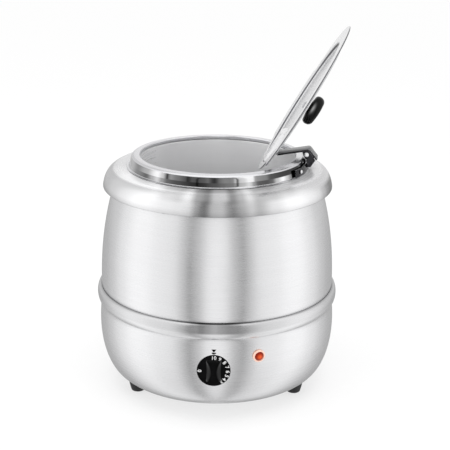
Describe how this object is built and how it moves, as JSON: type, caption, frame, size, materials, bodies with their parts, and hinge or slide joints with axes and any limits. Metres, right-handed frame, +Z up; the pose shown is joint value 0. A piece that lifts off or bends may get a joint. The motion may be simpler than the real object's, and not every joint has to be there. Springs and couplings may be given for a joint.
{
  "type": "soup kettle",
  "caption": "Round countertop soup kettle with a bellied steel jacket, lift-out pot, hinged notched lid on a ring, control dial, pilot lamp and rubber feet.",
  "frame": {"origin": "centre of the base plate's underside; the feet reach 18.5 mm below it", "axes": "+Z up along the kettle's axis, -Y towards the control dial, the lid hinge on the +X side, turned 6 degrees towards the dial"},
  "size_m": [0.3489, 0.4813, 0.5141],
  "materials": {
    "satin_steel": "satin stainless sheet, fine circumferential brushing",
    "polished_steel": "polished stainless, mirror-like with fine wipe marks",
    "plated_steel": "zinc-plated hardware, slightly dull",
    "black_plastic": "black moulded phenolic, semi-gloss",
    "grey_plastic": "matt grey moulded plastic",
    "black_rubber": "matt black rubber",
    "silicone": "red silicone",
    "mineral_wool": "matt mineral wool felt",
    "mica": "mica laminate",
    "amber_lens": "translucent orange-red lens, gloss",
    "copper": "bare copper tube",
    "brown_sleeve": "brown cable sleeve",
    "blue_sleeve": "blue cable sleeve",
    "green_sleeve": "green cable sleeve"
  },
  "bodies": {
    "housing": {"base_bowl": "satin_steel", "barrel_shell": "satin_steel", "collar": "satin_steel", "heating_well": "satin_steel", "well_gasket": "silicone", "insulation_sleeve": "mineral_wool", "heater_plate": "mica", "heater_clamp_plate": "plated_steel", "clamp_stud": "plated_steel", "clamp_washer": "plated_steel", "clamp_nut": "plated_steel", "thermal_cutout": "grey_plastic", "thermostat_body": "grey_plastic", "thermostat_nut": "plated_steel", "thermostat_capillary": "copper", "lamp_bezel": "polished_steel", "lamp_lens": "amber_lens", "lamp_body": "grey_plastic", "lamp_nut": "plated_steel", "terminal_block": "grey_plastic", "earth_stud": "plated_steel", "lead_live": "brown_sleeve", "lead_neutral": "blue_sleeve", "lead_heater": "brown_sleeve", "lead_earth": "green_sleeve", "cord_grip": "black_plastic", "cord_grip_nut": "grey_plastic", "power_cord": "black_plastic", "plug": "black_plastic", "base_plate": "plated_steel", "base_plate_screw_1": "plated_steel", "base_plate_screw_2": "plated_steel", "base_plate_screw_3": "plated_steel", "foot_left": "black_rubber", "foot_right": "black_rubber", "foot_rear": "black_rubber", "foot_screw_left": "plated_steel", "foot_screw_right": "plated_steel", "foot_screw_rear": "plated_steel", "foot_nut_left": "plated_steel", "foot_nut_right": "plated_steel", "foot_nut_rear": "plated_steel"},
    "dial": {"control_dial": "black_plastic", "dial_spindle": "plated_steel"},
    "pot": {"insert_pot": "satin_steel"},
    "ring": {"lid_ring": "polished_steel", "hinge_bracket": "polished_steel", "bracket_screw_front": "polished_steel", "bracket_screw_rear": "polished_steel", "hinge_arm": "polished_steel", "arm_pin": "polished_steel"},
    "lid": {"lid_plate": "polished_steel", "lid_knob": "black_plastic", "knob_screw": "plated_steel", "knob_washer": "polished_steel", "hinge_leaf": "polished_steel", "hinge_pin": "polished_steel", "hinge_rivet_1": "polished_steel", "hinge_rivet_2": "polished_steel"}
  },
  "joints": [
    {"name": "dial_turn", "type": "hinge", "parent": "housing", "child": "dial", "pos_m": [-0.002, -0.1702, 0.0675], "axis": [0, -1, 0], "range_deg": [0, 270]},
    {"name": "pot_lift", "type": "slide", "parent": "housing", "child": "pot", "axis": [0, 0, 1], "range_m": [0, 0.27]},
    {"name": "ring_lift", "type": "slide", "parent": "pot", "child": "ring", "axis": [0, 0, 1], "range_m": [0, 0.09]},
    {"name": "lid_hinge", "type": "hinge", "parent": "ring", "child": "lid", "pos_m": [0.07717, -0.00811, 0.3222], "axis": [0.1045, 0.9945, 0], "range_deg": [-121, 0]}
  ]
}
